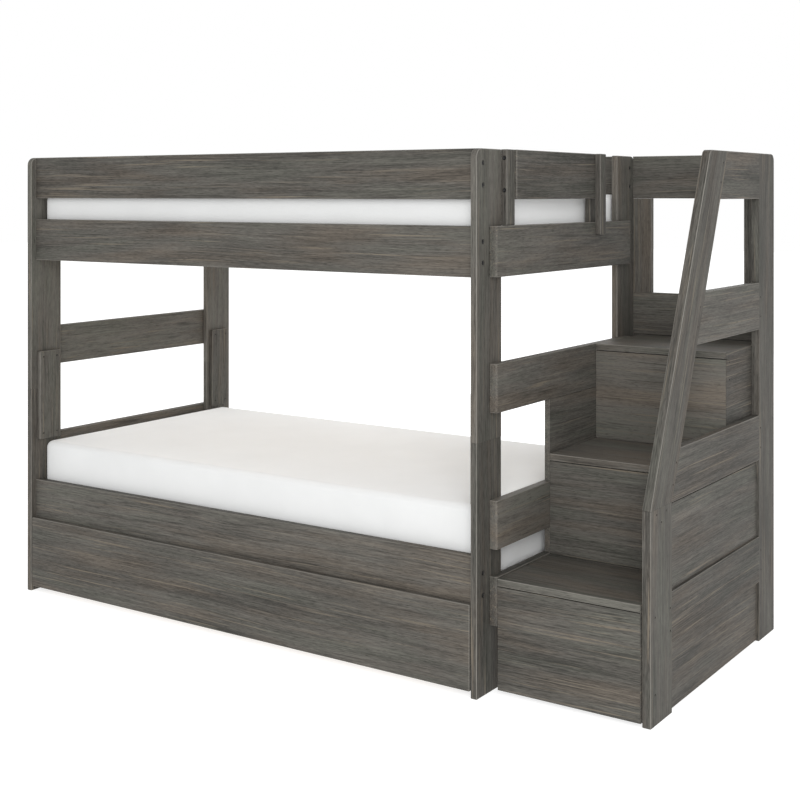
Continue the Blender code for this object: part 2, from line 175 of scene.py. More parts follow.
def plain(name, colour, roughness, metallic=0.0, mottle=0.12, size=220.0):
    """Metal or moulded plastic: one colour, slightly mottled, with a fine surface."""
    material, tree, shader = node_tree(name)
    place = add(tree, "ShaderNodeTexCoord").outputs["Object"]
    noise = stretched(tree, place, (size, size, size), 3.0)
    dark = tuple(c * (1 - mottle) for c in colour)
    light = tuple(min(1.0, c * (1 + mottle)) for c in colour)
    tree.links.new(ramp(tree, noise, [(0.3, dark), (0.7, light)]), shader.inputs["Base Color"])
    tree.links.new(maths(tree, "MULTIPLY_ADD", noise, 0.15, roughness - 0.07), shader.inputs["Roughness"])
    shader.inputs["Metallic"].default_value = metallic
    return material


def ticking(name):
    """White mattress cloth: a fine upright rib, woven with a finer cross thread."""
    material, tree, shader = node_tree(name)
    place = add(tree, "ShaderNodeAttribute", {"attribute_name": "cloth"}).outputs["Vector"]
    parts = add(tree, "ShaderNodeSeparateXYZ", Vector=place)
    cloud = stretched(tree, place, (6.0, 6.0, 6.0), 3.0)
    rib = maths(tree, "SINE", maths(tree, "MULTIPLY", parts.outputs[0], 2 * math.pi / 0.0042))
    thread = maths(tree, "SINE", maths(tree, "MULTIPLY", parts.outputs[1], 2 * math.pi / 0.0021))
    weave = maths(tree, "MULTIPLY_ADD", rib, 0.6, maths(tree, "MULTIPLY", thread, 0.25))
    slub = stretched(tree, place, (55.0, 900.0, 900.0), 2.0)
    height = maths(tree, "MULTIPLY_ADD", slub, 0.5, weave)
    value = maths(tree, "MULTIPLY_ADD", weave, 0.12, maths(tree, "MULTIPLY_ADD", cloud, 0.5, 0.25))
    # The long sides take a darker cloth colour: painted shade, offsetting the stronger light on them.
    painted_side_shade = add(tree, "ShaderNodeAttribute", {"attribute_name": "painted_side_shade"}).outputs["Fac"]
    colour = ramp(tree, value, [(0.30, (0.775, 0.780, 0.777)), (0.70, (0.825, 0.830, 0.827))])
    colour = blend_colours(tree, painted_side_shade, colour, ramp(tree, value, [(0.30, (0.545, 0.550, 0.548)),
                                                                    (0.70, (0.590, 0.595, 0.593))]))
    tree.links.new(colour, shader.inputs["Base Color"])
    bump = add(tree, "ShaderNodeBump", Strength=0.25, Distance=0.0005, Height=height)
    tree.links.new(bump.outputs[0], shader.inputs["Normal"])
    shader.inputs["Roughness"].default_value = 0.92
    shader.inputs["Sheen Weight"].default_value = 0.25
    shader.inputs["Specular IOR Level"].default_value = 0.2
    return material


STAINED = wood("grey_stained_pine", (0.036, 0.0338, 0.0300), (0.118, 0.1105, 0.0975),
               [(0.36, (0.955, 1.00, 0.975)), (0.50, (1.0, 1.0, 1.0)), (0.66, (1.08, 1.0, 0.94))],
               (0.150, 0.127, 0.098), (0.215, 0.204, 0.184), 0.62, 1.2)
BARE = wood("bare_pine", (0.44, 0.29, 0.155), (0.70, 0.54, 0.34),
            [(0.32, (0.98, 1.0, 1.0)), (0.50, (1.0, 1.0, 1.0)), (0.70, (1.03, 0.99, 0.95))],
            (0.74, 0.60, 0.40), (0.72, 0.58, 0.40), 0.6, 0.8)
CLOTH = ticking("white_ticking")
DARK_STEEL = plain("black_oxide_steel", (0.020, 0.020, 0.021), 0.45, 0.6)
RUBBER = plain("wheel_plastic", (0.030, 0.030, 0.031), 0.5)
HUB = plain("wheel_hub_plastic", (0.075, 0.075, 0.078), 0.42)
WEBBING = plain("strap_webbing", (0.55, 0.54, 0.51), 0.85, 0.0, 0.18, 900.0)


# ------------------------------------------------------------------ surfaces

def outline_of(points, radii, steps=ARC_STEPS):
    """Dense outline of a polygon that runs anticlockwise, with its corners rounded.

    At a corner P with unit directions in and out and turn t, the arc starts at P - in * r * tan(|t|/2).
    Its point at turn a is centre + sign(t) * r * n(a), where n(a) is the incoming side's
    outward normal turned by a, for a from 0 to t.
    """
    corner = np.asarray(points, float)
    radius = np.broadcast_to(np.asarray(radii, float), len(corner))[:, None]
    before, after = np.roll(corner, 1, 0), np.roll(corner, -1, 0)
    into = (corner - before) / np.linalg.norm(corner - before, axis=1, keepdims=True)
    out = (after - corner) / np.linalg.norm(after - corner, axis=1, keepdims=True)
    turn = np.arctan2(into[:, 0] * out[:, 1] - into[:, 1] * out[:, 0], (into * out).sum(1))[:, None]
    sign = np.where(turn >= 0, 1.0, -1.0)
    normal = np.stack([into[:, 1], -into[:, 0]], 1)
    centre = corner - into * radius * np.tan(np.abs(turn) / 2) - sign * radius * normal
    angle = turn * np.linspace(0, 1, steps + 1)[None, :]
    cosine, sine = np.cos(angle), np.sin(angle)
    normals = np.stack([cosine * normal[:, :1] - sine * normal[:, 1:],
                        sine * normal[:, :1] + cosine * normal[:, 1:]], 2)
    return (centre[:, None, :] + (sign * radius)[:, :, None] * normals).reshape(-1, 2)


def moved_in(points, sides):
    """How far each corner moves when side k, from corner k to k + 1, moves in by sides[k].

    The move is a * in - d1 * n1, with a = (d1 * (n1 . n2) - d2) / (n2 . in), so that it lies d1
    inside the incoming side, whose normal is n1, and d2 inside the outgoing one, whose normal is n2.
    """
    before, after = np.roll(points, 1, 0), np.roll(points, -1, 0)
    into = (points - before) / np.linalg.norm(points - before, axis=1, keepdims=True)
    out = (after - points) / np.linalg.norm(after - points, axis=1, keepdims=True)
    n1, n2 = np.stack([into[:, 1], -into[:, 0]], 1), np.stack([out[:, 1], -out[:, 0]], 1)
    d1, d2 = np.roll(sides, 1)[:, None], sides[:, None]
    slope = (n2 * into).sum(1, keepdims=True)
    return into * (d1 * (n1 * n2).sum(1, keepdims=True) - d2) / slope - d1 * n1


PALENESS_AND_PAINTED_LIGHT = {  # how much paler than its neighbours each board is painted: partly its own tone, partly painted light on boards in shade and painted shade on boards in strong light; darker where it is negative
    "guard_rail_front": -2.2, "side_rail_upper_front": -1.0, "trundle_front": 0.8,
    "post_lower_front_right": -0.4, "end_rail_upper_right": 0.7, "end_rail_middle_right": 1.5,
    "end_rail_low_a_right": 4.0, "stair_guard_rail": -1.9, "riser_3": 4.0, "riser_1": -1.1,
    "side_slanted_board": -1.6, "side_rail_third": -1.2, "side_rail_fourth": -1.0, "side_post_rear": -2.2,
    "side_rail_top": -1.4, "back_rail_top": 0.3, "end_rail_middle_left": 4.0, "end_rail_low_a_left": 2.0,
    "stair_outer_panel": -2.4, "post_upper_rear_left": 3.0, "post_lower_rear_left": 2.0,
    "post_upper_rear_right": 1.5, "post_lower_rear_right": 1.2, "stair_guard_clip_outer": -1.5,
}


class Shape:
    """Gathers surfaces into the arrays of one mesh."""

    def __init__(self):
        self.points, self.grain, self.worn, self.tone = [], [], [], []
        self.faces, self.smooth, self.slots = [], [], []
        self.count = 0

    def add(self, points, faces, smooth, grain=None, worn=None, tone=0.0, slot=0):
        total = len(points)
        self.points.append(points)
        self.grain.append(points if grain is None else grain)
        self.worn.append(np.zeros(total) if worn is None else worn)
        self.tone.append(np.full(total, tone))
        self.faces += [tuple(int(i) + self.count for i in face) for face in faces]
        self.smooth += list(smooth)
        self.slots += [slot] * len(faces)
        self.count += total

    def finish(self, name, materials, body="root", nodes=()):
        mesh = bpy.data.meshes.new(name)
        mesh.from_pydata(np.concatenate(self.points).tolist(), [], self.faces)
        mesh.polygons.foreach_set("use_smooth", np.asarray(self.smooth, bool))
        mesh.polygons.foreach_set("material_index", np.asarray(self.slots, np.int32))
        for material in materials if isinstance(materials, (list, tuple)) else [materials]:
            mesh.materials.append(material)
        for label, kind, field, values in (("grain", "FLOAT_VECTOR", "vector", self.grain),
                                           ("worn", "FLOAT", "value", self.worn),
                                           ("tone", "FLOAT", "value", self.tone)):
            layer = mesh.attributes.new(label, kind, "POINT")
            # Boards in the table are shifted whole: partly their own tone, partly painted light and painted
            # shade set board by board.
            shift = PALENESS_AND_PAINTED_LIGHT.get(nodes[0], 0.0) if nodes and label == "tone" else 0.0
            layer.data.foreach_set(field, (np.concatenate(values) + shift).astype(np.float32).ravel())
        mesh.update()
        obj = bpy.data.objects.new(name, mesh)
        bpy.context.scene.collection.objects.link(obj)
        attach(obj, body)
        if nodes:
            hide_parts(*nodes)
        return obj


def strip_faces(rings, around):
    """Quads between successive closed rings of points."""
    ring, step = np.meshgrid(np.arange(rings - 1), np.arange(around), indexing="ij")
    a = ring * around + step
    b = ring * around + (step + 1) % around
    return np.stack([a, b, b + around, a + around], -1).reshape(-1, 4)


def pierced_cap(ring, holes, segments=14):
    """Triangles over a ring of points, less its round holes, with the holes' own points.

    A triangle stays if its middle is inside the ring: a line from there along +u crosses the
    ring's sides an odd number of times.
    """
    angle = np.linspace(0, 2 * np.pi, segments, endpoint=False)
    circles = [np.array([u, v]) + r * np.stack([np.cos(angle), np.sin(angle)], 1) for u, v, r in holes]
    points = np.concatenate([ring] + circles)
    starts = [0, len(ring)] + [len(ring) + segments * (i + 1) for i in range(len(holes))]
    edges = [(int(i), int(i + 1) if i + 1 < stop else int(start))
             for start, stop in zip(starts[:-1], starts[1:]) for i in range(start, stop)]
    _, _, triangles, sources, _, _ = delaunay_2d_cdt([tuple(p) for p in points], edges, [], 0, 1e-7)
    back = [source[0] for source in sources]
    following = np.roll(ring, -1, 0)
    climb = following[:, 1] - ring[:, 1]
    slope = (following[:, 0] - ring[:, 0]) / np.where(climb == 0, 1.0, climb)
    kept = []
    for triangle in triangles:
        where = [back[i] for i in triangle]
        middle = points[where].mean(0)
        rise = (ring[:, 1] > middle[1]) != (following[:, 1] > middle[1])
        meets = ring[rise, 0] + (middle[1] - ring[rise, 1]) * slope[rise] > middle[0]
        if meets.sum() % 2 and all(np.hypot(*(middle - (u, v))) > r * 0.999 for u, v, r in holes):
            kept.append(where)
    return circles, kept


def board(shape, plane, outline, span, radii=None, edge=EDGE, along=None, holes=(), tone=None, slot=0,
          wear=0.55):
    """A board with eased edges.

    The outline lies in the plane, and span is the board's two faces on the third axis. Over one
    quarter round, the ring at angle a is the outline moved in by edge * (1 - sin a), at the height
    edge * (1 - cos a) from the face. edge is one width, or one for each side of the outline, in
    its order. holes are (u, v, radius, depth, face), face being 0 or 1.
    """
    first, second, third = PLANES[plane]
    corners = np.asarray(outline, float)
    sides = np.broadcast_to(np.asarray(edge, float), len(corners)).copy()
    following = np.roll(corners, -1, 0)
    area = 0.5 * np.sum(corners[:, 0] * following[:, 1] - following[:, 0] * corners[:, 1])
    if radii is None:
        radii = np.minimum(sides, np.roll(sides, 1)) + 0.0004
    radii = np.asarray(radii, float)
    if area < 0:
        corners, radii, sides = corners[::-1], radii[::-1], np.roll(sides[::-1], -1)
    inward = moved_in(corners, sides)
    widest, narrowest = np.maximum(sides, np.roll(sides, 1)), np.minimum(sides, np.roll(sides, 1))
    leg, tail = corners - np.roll(corners, 1, 0), np.roll(corners, -1, 0) - corners
    outer = leg[:, 0] * tail[:, 1] - leg[:, 1] * tail[:, 0] > 0
    quarter = np.linspace(0, np.pi / 2, ARC_STEPS)
    share = 1 - np.sin(quarter)
    half = [outline_of(corners + inward * f, np.where(outer, np.maximum(radii - widest * f, 5e-5),
                                                      radii + narrowest * f)) for f in share]
    flat = np.stack(half + half[::-1])
    rings, around = flat.shape[:2]
    step = np.linspace(0, 1, ARC_STEPS + 1)[None, :]
    width = (np.roll(sides, 1)[:, None] * (1 - step) + sides[:, None] * step).reshape(-1)
    rise = (1 - np.cos(quarter))[:, None] * width[None, :]
    height = np.concatenate([span[0] + rise, (span[1] - rise)[::-1]])
    grid = np.concatenate([flat, height[..., None]], 2).reshape(-1, 3)
    # Paler mark on the eased edges, strongest half-way round: partly wear, partly a painted highlight.
    edge_scuff_highlight = np.sin(2 * quarter)[:, None] * np.clip(width / 0.002, 0, 1)[None, :] * wear
    worn = np.concatenate([edge_scuff_highlight, edge_scuff_highlight[::-1]]).reshape(-1)
    faces = [tuple(face) for face in strip_faces(rings, around)]
    smooth = [True] * len(faces)
    for side, base, sign in ((0, 0, -1), (1, (rings - 1) * around, 1)):
        here = [h[:4] for h in holes if h[4] == side]
        if not here:
            loop = tuple(range(base, base + around))
            faces.append(loop if sign > 0 else loop[::-1])
            smooth.append(False)
            continue
        ring = grid[base:base + around, :2]
        circles, kept = pierced_cap(ring, [(u, v, r + 0.0007) for u, v, r, _ in here])
        start = len(grid)
        segments = len(circles[0])
        extra = []
        for circle, (u, v, r, depth) in zip(circles, here):
            middle = np.array([u, v])
            direction = (circle - middle) / np.linalg.norm(circle - middle, axis=1, keepdims=True)
            levels = [(r + 0.0007, 0.0), (r, 0.0008), (r, depth)]
            wall = [np.c_[middle + direction * radius, np.full(segments, span[side] - sign * down)]
                    for radius, down in levels]
            extra.append(np.concatenate(wall))
        index = np.r_[np.arange(around) + base, np.concatenate(
            [start + 3 * segments * k + np.arange(segments) for k in range(len(here))])]
        for triangle in kept:
            corner = tuple(int(index[i]) for i in triangle)
            faces.append(corner if sign > 0 else corner[::-1])
            smooth.append(False)
        for k in range(len(here)):
            wall = strip_faces(3, segments) + start + 3 * segments * k
            faces += [tuple(f)[::-1] if sign > 0 else tuple(f) for f in wall.tolist()]
            smooth += [True] * len(wall)
            floor = tuple(range(start + 3 * segments * k + 2 * segments, start + 3 * segments * (k + 1)))
            faces.append(floor if sign > 0 else floor[::-1])
            smooth.append(False)
        grid = np.concatenate([grid] + extra)
        worn = np.concatenate([worn, np.zeros(len(grid) - len(worn))])
    points = np.empty_like(grid)
    points[:, first], points[:, second], points[:, third] = grid.T
    if plane == "XZ":
        faces = [face[::-1] for face in faces]
    size = corners.max(0) - corners.min(0)
    if along is None:
        along = (1.0, 0.0) if size[0] >= size[1] else (0.0, 1.0)
    run = np.asarray(along, float) / np.hypot(*along)
    centre = corners.mean(0)
    local = grid[:, :2] - centre
    grain = np.stack([local @ run, local @ np.array([-run[1], run[0]]), grid[:, 2] - span[0]], 1)
    grain += rng.uniform(-40, 40, 3)
    tone = rng.uniform(-1, 1) if tone is None else tone
    shape.add(points, faces, smooth, grain, worn, tone, slot)


def rectangle(low, high):
    return [(low[0], low[1]), (high[0], low[1]), (high[0], high[1]), (low[0], high[1])]


def box_board(shape, low, high, plane, **settings):
    first, second, third = PLANES[plane]
    board(shape, plane, rectangle((low[first], low[second]), (high[first], high[second])),
          (low[third], high[third]), **settings)


def plank(node, plane, name=None, material=STAINED, slot="stained_pine", body="root", **settings):
    """A straight board in the place of one CAD node."""
    low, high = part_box(node)
    shape = Shape()
    box_board(shape, low, high, plane, **settings)
    return shape.finish(name or "board_" + node, material, body, [node])


def turned_part(shape, profile, centre, axis, segments=24, slot=0):
    """Profile points (along, radius) turned about an axis through centre; the ends are closed."""
    profile = np.asarray(profile, float)
    angle = np.linspace(0, 2 * np.pi, segments, endpoint=False)
    others = [i for i in range(3) if i != axis]
    points = np.zeros((len(profile), segments, 3))
    points[..., axis] = profile[:, None, 0]
    points[..., others[0]] = profile[:, None, 1] * np.cos(angle)
    points[..., others[1]] = profile[:, None, 1] * np.sin(angle)
    points = points.reshape(-1, 3) + np.asarray(centre)
    faces = [tuple(f) for f in strip_faces(len(profile), segments).tolist()]
    last = (len(profile) - 1) * segments
    faces += [tuple(range(segments))[::-1], tuple(range(last, last + segments))]
    upwards = profile[-1, 0] > profile[0, 0]
    if (axis == 1) == upwards:
        faces = [face[::-1] for face in faces]
    shape.add(points, faces, [True] * (len(faces) - 2) + [False, False], slot=slot)


def bolt_heads(name, places, axis, outward, radius, sink):
    """Round heads with a round socket, sunk a little below the face they stand in."""
    shape = Shape()
    profile = np.array([(-0.0030, radius), (-0.0004, radius), (0.0, radius * 0.86), (0.0, radius * 0.46),
                        (-0.0016, radius * 0.42), (-0.0017, radius * 0.05)])
    for place in places:
        centre = np.array(place, float)
        centre[axis] -= outward * sink
        cut = profile.copy()
        cut[:, 0] *= outward
        turned_part(shape, cut, centre, axis, 12)
    return shape.finish(name, DARK_STEEL)


# --------------------------------------------------------------------- bed

BOLT_IN = 0.038  # from the post's outer edge
BOLT_Z = (1.610, 1.543, 1.372, 1.308, 0.372, 0.305)
BOLT_R = 0.0076
PLATE_Y = (0.028, 0.130)
PLATE_Z = (0.575, 0.912)
PLATE_THICK = 0.018
PLATE_SCREW_IN = (0.018, 0.022)  # from the plate's upright edges, and from its ends


def posts():
    bolts = {"left": [], "right": []}
    for side in ("left", "right"):
        for place in ("front", "rear"):
            low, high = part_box(f"post_upper_{place}_{side}")
            front = place == "front"
            y0, y1 = low.y, high.y
            bolt_y = y0 + BOLT_IN if front else y1 - BOLT_IN
            face = 0 if side == "left" else 1
            outer = low.x if side == "left" else high.x
            for level, z0, z1 in (("upper", SEAM, TOP), ("lower", 0.0, SEAM - 0.0003)):
                edges = [BUTT, EDGE, EDGE, EDGE] if level == "upper" else [EDGE, EDGE, BUTT, EDGE]
                radii = np.minimum(edges, np.roll(edges, 1)) + 0.0004
                if level == "upper":
                    radii[3 if front else 2] = CORNER
                heights = [z for z in BOLT_Z if z0 < z < z1]
                holes = [(bolt_y, z, BOLT_R, 0.0095, face) for z in heights]
                bolts[side] += [(outer, bolt_y, z) for z in heights]
                shape = Shape()
                if side == "right" and front and level == "upper":
                    edges[1] = BUTT  # the guard's upright stands against it
                board(shape, "YZ", rectangle((y0, z0), (y1, z1)), (low.x, high.x), radii=radii, edge=edges,
                      along=(0, 1), holes=holes, wear=0.9)
                shape.finish(f"{level}_post_{place}_{side}", STAINED, nodes=[f"post_{level}_{place}_{side}"])
            joining_plate(place, side, low, high)
    for side in ("left", "right"):
        outward = -1 if side == "left" else 1
        bolt_heads(f"post_bolts_{side}", bolts[side], 0, outward, BOLT_R - 0.0003, 0.0015)


def joining_plate(place, side, low, high):
    """The board that stands across the seam on the inner face of a pair of posts."""
    inward = 1 if side == "left" else -1
    inner = high.x if side == "left" else low.x
    y = [low.y + v for v in PLATE_Y] if place == "front" else [high.y - v for v in PLATE_Y[::-1]]
    span = sorted((inner + inward * LAP, inner + inward * PLATE_THICK))
    face = 1 if side == "left" else 0
    beside, below = PLATE_SCREW_IN
    heights = (PLATE_Z[0] + below, PLATE_Z[1] - below)
    screws = [(v, z) for z in heights for v in (y[0] + beside, y[1] - beside)]
    shape = Shape()
    board(shape, "YZ", rectangle((y[0], PLATE_Z[0]), (y[1], PLATE_Z[1])), span, along=(0, 1), edge=0.003,
          holes=[(v, z, 0.0028, 0.004, face) for v, z in screws])
    shape.finish(f"joining_plate_{place}_{side}", STAINED)
    spot = inner + inward * PLATE_THICK
    bolt_heads(f"plate_screws_{place}_{side}", [(spot, v, z) for v, z in screws], 0, inward, 0.0026, 0.0015)


def long_rails():
    for place in ("front", "rear"):
        plank(f"guard_rail_{place}", "XZ", edge=[EDGE, BUTT, EDGE, BUTT])
        for level in ("upper", "lower"):
            node = f"side_rail_{level}_{place}"
            low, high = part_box(node)
            y = (low.y, low.y + RAIL_THICK) if place == "front" else (high.y - RAIL_THICK, high.y)
            cleat_y = (y[1] - LAP, high.y) if place == "front" else (low.y, y[0] + LAP)
            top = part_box(f"slats_{level}")[0].z + STRAP_THICK - SEAT
            shape = Shape()
            box_board(shape, (low.x, y[0], low.z), (high.x, y[1], high.z), "XZ",
                      edge=[EDGE, BUTT, EDGE, BUTT])
            box_board(shape, (low.x + 0.01, cleat_y[0], top - CLEAT_TALL), (high.x - 0.01, cleat_y[1], top),
                      "XZ", edge=0.002)
            shape.finish(f"side_rail_{level}_{place}_board", STAINED, nodes=[node])


def end_rails():
    """End rails have their two outer upright corners rounded more than the other edges."""
    for side in ("left", "right"):
        names = [f"end_rail_{level}_{side}" for level in ("upper", "middle", "low_a", "low_b")]
        if side == "left":
            names.append("end_guard_left")
        for node in names:
            low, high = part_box(node)
            inner, outer = EDGE + 0.0004, 0.007
            radii = [inner, outer, outer, inner] if side == "right" else [outer, inner, inner, outer]
            shape = Shape()
            board(shape, "XY", rectangle((low.x, low.y), (high.x, high.y)), (low.z, high.z), radii=radii,
                  along=(0, 1))
            shape.finish("board_" + node, STAINED, nodes=[node])


def stair_guard():
    low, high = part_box("stair_guard_upright")
    holes = [((low.x + high.x) / 2, z, 0.0066, 0.008, 0) for z in (1.627, 1.5275)]
    shape = Shape()
    board(shape, "XZ", rectangle((low.x, low.z), (high.x, high.z)), (low.y, high.y), along=(0, 1),
          holes=holes, edge=[EDGE, EDGE, EDGE, BUTT])
    shape.finish("stair_guard_upright_board", STAINED, nodes=["stair_guard_upright"])
    bolt_heads("stair_guard_bolts", [(h[0], low.y, h[1]) for h in holes], 1, -1, 0.0063, 0.0020)
    plank("stair_guard_rail", "YZ")
    plank("stair_guard_clip_outer", "YZ", along=(0, 1))
    plank("stair_guard_clip_inner", "YZ", along=(0, 1))


def slat_rolls():
    for node, body in (("slats_lower", "root"), ("slats_upper", "root"), ("trundle_slats", "trundle")):
        low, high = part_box(node)
        count, wide, thick = 14, 0.070, 0.019
        pitch = (high.x - low.x - wide) / (count - 1)
        straps = (0.28, 0.76) if body == "trundle" else (0.30, 0.83)
        shape = Shape()
        for k in range(count):
            left = low.x + k * pitch
            box_board(shape, (left, low.y, high.z - thick), (left + wide, high.y, high.z), "XY", edge=0.0025)
        for y in straps:
            box_board(shape, (low.x + 0.01, FRONT + y, low.z),
                      (high.x - 0.01, FRONT + y + STRAP_WIDE, low.z + STRAP_THICK), "XY", edge=0.0008, slot=1)
        shape.finish(node + "_boards", [BARE, WEBBING], body, [node])


# --------------------------------------------------------------- mattresses

MATTRESS_ROUND = 0.025
SWELL = 0.002


def rounded_block(half, radius, spacing):
    """Grid over a block with round edges.

    A point q of the block's surface is pulled to c = clip(q, -(half - radius), half - radius),
    then put back at radius from it: c + radius * (q - c) / |q - c|.
    """
    half = np.asarray(half, float)
    patches, quads, count = [], [], 0

    def ticks(size):
        core = np.linspace(-(size - radius), size - radius, max(2, int(2 * (size - radius) / spacing)) + 1)
        bend = np.tan(np.linspace(0, np.pi / 4, 5)[1:]) * radius
        return np.r_[-(size - radius) - bend[::-1], core, size - radius + bend]

    for axis in range(3):
        u, v = [i for i in range(3) if i != axis]
        across, along = ticks(half[u]), ticks(half[v])
        for sign in (-1, 1):
            a, b = np.meshgrid(across, along, indexing="ij")
            patch = np.zeros((*a.shape, 3))
            patch[..., u], patch[..., v], patch[..., axis] = a, b, sign * half[axis]
            rows, columns = a.shape
            i, j = np.meshgrid(np.arange(rows - 1), np.arange(columns - 1), indexing="ij")
            k = i * columns + j
            face = np.stack([k, k + columns, k + columns + 1, k + 1], -1).reshape(-1, 4)
            if (sign > 0) == (axis == 1):
                face = face[:, ::-1]
            patches.append(patch.reshape(-1, 3))
            quads.append(face + count)
            count += rows * columns
    points = np.concatenate(patches)
    _, first, merged = np.unique(np.round(points, 6), axis=0, return_index=True, return_inverse=True)
    points = points[first]
    faces = merged.reshape(-1)[np.concatenate(quads)]
    core = np.clip(points, -(half - radius), half - radius)
    away = points - core
    return core + radius * away / np.linalg.norm(away, axis=1, keepdims=True), faces


def swollen(points, faces):
    """The block blown up a little as a cloth bag, with each point's movement held to SWELL."""
    mesh = bpy.data.meshes.new("mattress_bag")
    mesh.from_pydata(points.tolist(), [], faces.tolist())
    bag = bpy.data.objects.new("mattress_bag", mesh)
    scene = bpy.context.scene
    scene.collection.objects.link(bag)
    cloth = bag.modifiers.new("cloth", "CLOTH")
    cloth.settings.quality = 4
    cloth.settings.mass = 0.3
    cloth.settings.use_pressure = True
    cloth.settings.uniform_pressure_force = 4.0
    cloth.settings.tension_stiffness = 20
    cloth.settings.compression_stiffness = 20
    cloth.settings.bending_stiffness = 8
    cloth.settings.effector_weights.gravity = 0.0
    cloth.collision_settings.use_self_collision = False
    cloth.point_cache.frame_start, cloth.point_cache.frame_end = 1, 20
    for step in range(1, 21):
        scene.frame_set(step)
    shown = bag.evaluated_get(bpy.context.evaluated_depsgraph_get()).to_mesh()
    result = np.empty(len(points) * 3, np.float32)
    shown.vertices.foreach_get("co", result)
    scene.frame_set(1)
    bpy.data.objects.remove(bag)
    moved = result.reshape(-1, 3) - points
    length = np.linalg.norm(moved, axis=1, keepdims=True)
    return points + moved * np.minimum(1.0, SWELL / np.maximum(length, 1e-9))


def mattresses():
    """The thinner mattress is blown up first; the other is the same one with a taller middle band."""
    low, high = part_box("mattress_upper")
    room = (SWELL + 0.0005, SWELL + 0.0005, SWELL * 0.5)
    half = np.array([(high[i] - low[i]) / 2 for i in range(3)]) - room
    start, faces = rounded_block(half, MATTRESS_ROUND, 0.016)
    grown = swollen(start, faces)
    # It rests flat, so its underside keeps the block's own flatness.
    under = np.clip((start[:, 2] + half[2]) / 0.05, 0.0, 1.0)
    grown[:, 2] = start[:, 2] + (grown[:, 2] - start[:, 2]) * under
    for level in ("lower", "upper"):
        low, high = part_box("mattress_" + level)
        taller = (high.z - low.z) - 2 * half[2] - SWELL
        points = grown + [(low.x + high.x) / 2, (low.y + high.y) / 2, high.z - half[2] - SWELL * 0.6]
        points[:, 2] -= np.where(start[:, 2] < 0, taller, 0.0)
        # The ribs run up the sides, and across the bed on top.
        on_top = np.abs(start[:, 2]) > half[2] - MATTRESS_ROUND * 0.5
        # The two long sides are painted darker: painted shade, offsetting the stronger light on them.
        painted_side_shade = np.clip(np.abs(start[:, 1]) - half[1] + MATTRESS_ROUND, 0.0, MATTRESS_ROUND) / MATTRESS_ROUND
        cloth = np.stack([start[:, 0] + np.where(on_top, 0.0, start[:, 1]),
                          np.where(on_top, start[:, 1], points[:, 2]), start[:, 2]], 1)
        mesh = bpy.data.meshes.new("mattress_" + level + "_body")
        mesh.from_pydata(points.tolist(), [], faces.tolist())
        mesh.polygons.foreach_set("use_smooth", np.ones(len(faces), bool))
        layer = mesh.attributes.new("cloth", "FLOAT_VECTOR", "POINT")
        layer.data.foreach_set("vector", cloth.astype(np.float32).ravel())
        layer = mesh.attributes.new("painted_side_shade", "FLOAT", "POINT")
        layer.data.foreach_set("value", painted_side_shade.astype(np.float32))
        mesh.materials.append(CLOTH)
        obj = bpy.data.objects.new("mattress_" + level + "_body", mesh)
        bpy.context.scene.collection.objects.link(obj)
        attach(obj, "root")
        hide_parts("mattress_" + level)


# ----------------------------------------------------------------- trundle

def trundle():
    low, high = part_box("trundle_front")
    front_thick, wall, inset = 0.021, 0.018, 0.072
    shape = Shape()
    box_board(shape, low, (high.x, low.y + front_thick, high.z), "XZ", edge=0.0035)
    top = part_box("trundle_slats")[0].z + STRAP_THICK - SEAT
    base = top - CLEAT_TALL
    box_board(shape, (low.x + inset, low.y + front_thick - LAP, base), (high.x - inset, high.y, top), "XZ",
              edge=0.002, slot=1)
    shape.finish("trundle_front_board", [STAINED, BARE], "trundle", ["trundle_front"])
    low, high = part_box("trundle_back")
    shape = Shape()
    box_board(shape, (low.x, high.y - wall, low.z), high, "XZ", edge=0.003)
    box_board(shape, (low.x + 0.03, low.y, base), (high.x - 0.03, low.y + CLEAT_WIDE + LAP, top), "XZ",
              edge=0.002, slot=1)
    shape.finish("trundle_back_board", [STAINED, BARE], "trundle", ["trundle_back"])
    for side in ("left", "right"):
        low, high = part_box("trundle_side_" + side)
        x = (low.x, low.x + wall) if side == "left" else (high.x - wall, high.x)
        shape = Shape()
        board(shape, "YZ", rectangle((low.y, low.z), (high.y, high.z)), x, edge=0.003)
        for place in ("front", "rear"):
            near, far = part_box(f"wheel_{place}_{side}")
            y, z = (near.y + far.y) / 2, (near.z + far.z) / 2
            tip = high.x if side == "left" else low.x
            root = x[1] - 0.001 if side == "left" else x[0] + 0.001
            shoulder = tip - 0.0005 * np.sign(tip - root)
            turned_part(shape, [(root, 0.0044), (shoulder, 0.0044), (tip, 0.0036)], (0, y, z), 0, 20, slot=1)
        shape.finish(f"trundle_side_{side}_board", [STAINED, DARK_STEEL], "trundle",
                     ["trundle_side_" + side])
    wheels()


def wheels():
    """Turned wheels: a tyre with a crowned tread round a dished hub."""
    for side in ("left", "right"):
        for place in ("front", "rear"):
            node = f"wheel_{place}_{side}"
            low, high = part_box(node)
            centre = np.array([(low[i] + high[i]) / 2 for i in range(3)])
            radius, half, bore = (high.z - low.z) / 2, (high.x - low.x) / 2, 0.0046
            arc = np.linspace(-1, 1, 9)
            tread = np.stack([arc * (half - 0.002), radius - 0.0007 * arc ** 2], 1)
            tyre = np.concatenate([[(-half, radius * 0.74), (-half, radius - 0.003)], tread,
                                   [(half, radius - 0.003), (half, radius * 0.74)]])
            hub = np.array([(half, radius * 0.74), (half - 0.003, radius * 0.70), (half - 0.004, 0.011),
                            (half, 0.009), (half, bore), (-half, bore), (-half, 0.009),
                            (-half + 0.004, 0.011), (-half + 0.003, radius * 0.70), (-half, radius * 0.74)])
            shape = Shape()
            for profile, slot in ((tyre, 0), (hub, 1)):
                ring_surface(shape, profile, centre, slot)
            shape.finish(node + "_turned", [RUBBER, HUB], node, [node])


